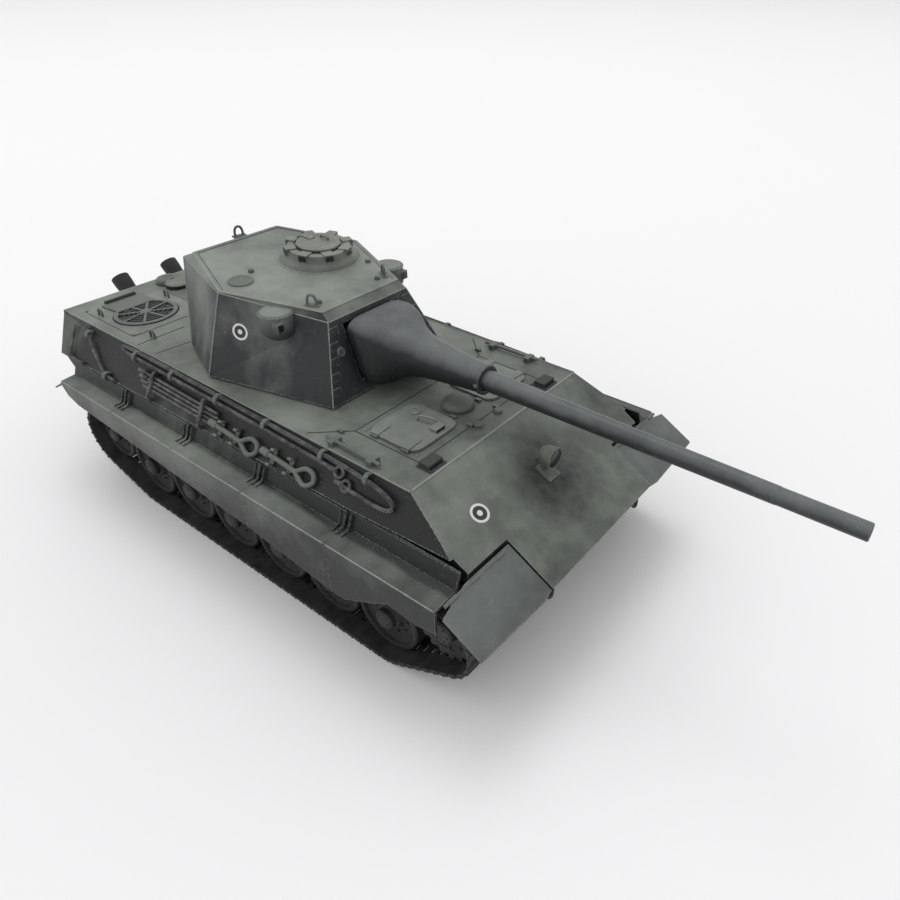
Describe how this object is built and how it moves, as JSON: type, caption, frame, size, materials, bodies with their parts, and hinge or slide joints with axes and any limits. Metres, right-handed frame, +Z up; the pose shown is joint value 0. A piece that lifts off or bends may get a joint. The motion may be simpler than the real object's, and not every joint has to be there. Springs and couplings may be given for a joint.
{
  "type": "remote control tank",
  "caption": "Remote control model tank with a turning turret, elevating gun, hinged hatches and flaps, side skirts and coupled running gear.",
  "frame": {"origin": "centre of the bounding box at ground level under the tracks", "axes": "+X towards the muzzle along the hull, +Y to the tank's left, +Z up"},
  "size_m": [0.6318, 0.2378, 0.1915],
  "materials": {
    "hull_paint": "airbrushed satin field grey over moulded plastic",
    "turret_paint": "airbrushed satin field grey fading to blue-grey",
    "gun_paint": "satin dark grey paint on an aluminium tube",
    "track_plastic": "dull black moulded links",
    "wheel_plastic": "dull dark grey",
    "exhaust_black": "soot black",
    "dark_steel": "painted dark steel grey",
    "grille_grey": "dark grey in the recesses",
    "battery_wrap": "blue shrink wrap",
    "board_green": "green circuit board",
    "black_plastic": "black moulded plastic"
  },
  "bodies": {
    "hull": {"upper_hull": "hull_paint", "lower_hull": "hull_paint", "engine_cover": "hull_paint", "fan_grille_right": "grille_grey", "fan_grille_left": "grille_grey", "exhaust_right": "exhaust_black", "exhaust_left": "exhaust_black", "skirt_right_1": "hull_paint", "skirt_right_2": "hull_paint", "skirt_right_3": "hull_paint", "skirt_right_4": "hull_paint", "skirt_right_5": "hull_paint", "skirt_left_1": "hull_paint", "skirt_left_2": "hull_paint", "skirt_left_3": "hull_paint", "skirt_left_4": "hull_paint", "skirt_left_5": "hull_paint", "ventilator": "hull_paint", "headlight": "hull_paint", "tow_cable_right": "dark_steel", "tow_cable_left": "dark_steel", "tool_rack_right": "dark_steel", "tool_rack_left": "dark_steel", "battery_pack": "battery_wrap", "battery_cover": "hull_paint", "control_board": "board_green", "gearbox_right": "black_plastic", "gearbox_left": "black_plastic", "speaker": "black_plastic", "track_right": "track_plastic", "track_left": "track_plastic"},
    "turret": {"turret_shell": "turret_paint", "turret_ring": "black_plastic", "cupola": "turret_paint", "rangefinder_right": "turret_paint", "rangefinder_left": "turret_paint"},
    "commander_lid": {"cupola_hatch": "turret_paint"},
    "gun_mount": {"mantlet": "turret_paint"},
    "gun_barrel": {"barrel": "gun_paint"},
    "flap_right": {"mudguard_right": "hull_paint"},
    "flap_left": {"mudguard_left": "hull_paint"},
    "radio_lid": {"radio_hatch": "hull_paint"},
    "driver_lid": {"driver_hatch": "hull_paint"},
    "switch_knob": {"power_switch": "black_plastic"},
    "road_wheel_right_1": {"wheel_right_1": "wheel_plastic"},
    "road_wheel_right_2": {"wheel_right_2": "wheel_plastic"},
    "road_wheel_right_3": {"wheel_right_3": "wheel_plastic"},
    "road_wheel_right_4": {"wheel_right_4": "wheel_plastic"},
    "road_wheel_right_5": {"wheel_right_5": "wheel_plastic"},
    "road_wheel_right_6": {"wheel_right_6": "wheel_plastic"},
    "drive_right": {"sprocket_right": "wheel_plastic"},
    "tail_wheel_right": {"idler_right": "wheel_plastic"},
    "road_wheel_left_1": {"wheel_left_1": "wheel_plastic"},
    "road_wheel_left_2": {"wheel_left_2": "wheel_plastic"},
    "road_wheel_left_3": {"wheel_left_3": "wheel_plastic"},
    "road_wheel_left_4": {"wheel_left_4": "wheel_plastic"},
    "road_wheel_left_5": {"wheel_left_5": "wheel_plastic"},
    "road_wheel_left_6": {"wheel_left_6": "wheel_plastic"},
    "drive_left": {"sprocket_left": "wheel_plastic"},
    "tail_wheel_left": {"idler_left": "wheel_plastic"}
  },
  "joints": [
    {"name": "turret_traverse", "type": "hinge", "parent": "hull", "child": "turret", "pos_m": [-0.08743, 0, 0.1173], "axis": [0, 0, 1], "continuous": true},
    {"name": "gun_elevation", "type": "hinge", "parent": "turret", "child": "gun_mount", "pos_m": [-0.01043, 0, 0.1462], "axis": [0, -1, 0], "range_deg": [-5, 8]},
    {"name": "gun_recoil", "type": "slide", "parent": "gun_mount", "child": "gun_barrel", "axis": [-1, 0, 0], "range_m": [0, 0.012], "stiffness_N_per_m": 150, "springref_m": -0.004},
    {"name": "cupola_hatch_hinge", "type": "hinge", "parent": "turret", "child": "commander_lid", "pos_m": [-0.10333, 0.021, 0.19061], "axis": [0, -1, 0], "range_deg": [0, 100]},
    {"name": "mudguard_right_hinge", "type": "hinge", "parent": "hull", "child": "flap_right", "pos_m": [0.14586, -0.077, 0.08585], "axis": [0, -1, 0], "range_deg": [0, 90]},
    {"name": "mudguard_left_hinge", "type": "hinge", "parent": "hull", "child": "flap_left", "pos_m": [0.14586, 0.077, 0.08585], "axis": [0, -1, 0], "range_deg": [0, 90]},
    {"name": "radio_hatch_hinge", "type": "hinge", "parent": "hull", "child": "radio_lid", "pos_m": [0.05457, -0.0569, 0.1186], "axis": [1, 0, 0], "range_deg": [0, 100]},
    {"name": "driver_hatch_hinge", "type": "hinge", "parent": "hull", "child": "driver_lid", "pos_m": [0.05457, 0.0569, 0.1186], "axis": [-1, 0, 0], "range_deg": [0, 100]},
    {"name": "power_switch_slide", "type": "slide", "parent": "hull", "child": "switch_knob", "axis": [1, 0, 0], "range_m": [0, 0.003]},
    {"name": "sprocket_right_spin", "type": "hinge", "parent": "hull", "child": "drive_right", "pos_m": [0.13556, -0.0875, 0.0515], "axis": [0, 1, 0], "continuous": true},
    {"name": "idler_right_spin", "type": "hinge", "parent": "hull", "child": "tail_wheel_right", "pos_m": [-0.21144, -0.0875, 0.0395], "axis": [0, 1, 0], "continuous": true},
    {"name": "wheel_right_1_spin", "type": "hinge", "parent": "hull", "child": "road_wheel_right_1", "pos_m": [0.08757, -0.0875, 0.029], "axis": [0, 1, 0], "continuous": true},
    {"name": "wheel_right_2_spin", "type": "hinge", "parent": "hull", "child": "road_wheel_right_2", "pos_m": [0.03716, -0.0875, 0.029], "axis": [0, 1, 0], "continuous": true},
    {"name": "wheel_right_3_spin", "type": "hinge", "parent": "hull", "child": "road_wheel_right_3", "pos_m": [-0.01324, -0.0875, 0.029], "axis": [0, 1, 0], "continuous": true},
    {"name": "wheel_right_4_spin", "type": "hinge", "parent": "hull", "child": "road_wheel_right_4", "pos_m": [-0.06363, -0.0875, 0.029], "axis": [0, 1, 0], "continuous": true},
    {"name": "wheel_right_5_spin", "type": "hinge", "parent": "hull", "child": "road_wheel_right_5", "pos_m": [-0.11403, -0.0875, 0.029], "axis": [0, 1, 0], "continuous": true},
    {"name": "wheel_right_6_spin", "type": "hinge", "parent": "hull", "child": "road_wheel_right_6", "pos_m": [-0.16443, -0.0875, 0.029], "axis": [0, 1, 0], "continuous": true},
    {"name": "sprocket_left_spin", "type": "hinge", "parent": "hull", "child": "drive_left", "pos_m": [0.13556, 0.0875, 0.0515], "axis": [0, 1, 0], "continuous": true},
    {"name": "idler_left_spin", "type": "hinge", "parent": "hull", "child": "tail_wheel_left", "pos_m": [-0.21144, 0.0875, 0.0395], "axis": [0, 1, 0], "continuous": true},
    {"name": "wheel_left_1_spin", "type": "hinge", "parent": "hull", "child": "road_wheel_left_1", "pos_m": [0.08757, 0.0875, 0.029], "axis": [0, 1, 0], "continuous": true},
    {"name": "wheel_left_2_spin", "type": "hinge", "parent": "hull", "child": "road_wheel_left_2", "pos_m": [0.03716, 0.0875, 0.029], "axis": [0, 1, 0], "continuous": true},
    {"name": "wheel_left_3_spin", "type": "hinge", "parent": "hull", "child": "road_wheel_left_3", "pos_m": [-0.01324, 0.0875, 0.029], "axis": [0, 1, 0], "continuous": true},
    {"name": "wheel_left_4_spin", "type": "hinge", "parent": "hull", "child": "road_wheel_left_4", "pos_m": [-0.06363, 0.0875, 0.029], "axis": [0, 1, 0], "continuous": true},
    {"name": "wheel_left_5_spin", "type": "hinge", "parent": "hull", "child": "road_wheel_left_5", "pos_m": [-0.11403, 0.0875, 0.029], "axis": [0, 1, 0], "continuous": true},
    {"name": "wheel_left_6_spin", "type": "hinge", "parent": "hull", "child": "road_wheel_left_6", "pos_m": [-0.16443, 0.0875, 0.029], "axis": [0, 1, 0], "continuous": true}
  ],
  "couplings": [
    {"joint": "idler_right_spin", "follows": "sprocket_right_spin", "ratio": 1.0714},
    {"joint": "wheel_right_1_spin", "follows": "sprocket_right_spin", "ratio": 0.9221},
    {"joint": "wheel_right_2_spin", "follows": "sprocket_right_spin", "ratio": 0.9221},
    {"joint": "wheel_right_3_spin", "follows": "sprocket_right_spin", "ratio": 0.9221},
    {"joint": "wheel_right_4_spin", "follows": "sprocket_right_spin", "ratio": 0.9221},
    {"joint": "wheel_right_5_spin", "follows": "sprocket_right_spin", "ratio": 0.9221},
    {"joint": "wheel_right_6_spin", "follows": "sprocket_right_spin", "ratio": 0.9221},
    {"joint": "idler_left_spin", "follows": "sprocket_left_spin", "ratio": 1.0714},
    {"joint": "wheel_left_1_spin", "follows": "sprocket_left_spin", "ratio": 0.9221},
    {"joint": "wheel_left_2_spin", "follows": "sprocket_left_spin", "ratio": 0.9221},
    {"joint": "wheel_left_3_spin", "follows": "sprocket_left_spin", "ratio": 0.9221},
    {"joint": "wheel_left_4_spin", "follows": "sprocket_left_spin", "ratio": 0.9221},
    {"joint": "wheel_left_5_spin", "follows": "sprocket_left_spin", "ratio": 0.9221},
    {"joint": "wheel_left_6_spin", "follows": "sprocket_left_spin", "ratio": 0.9221}
  ]
}
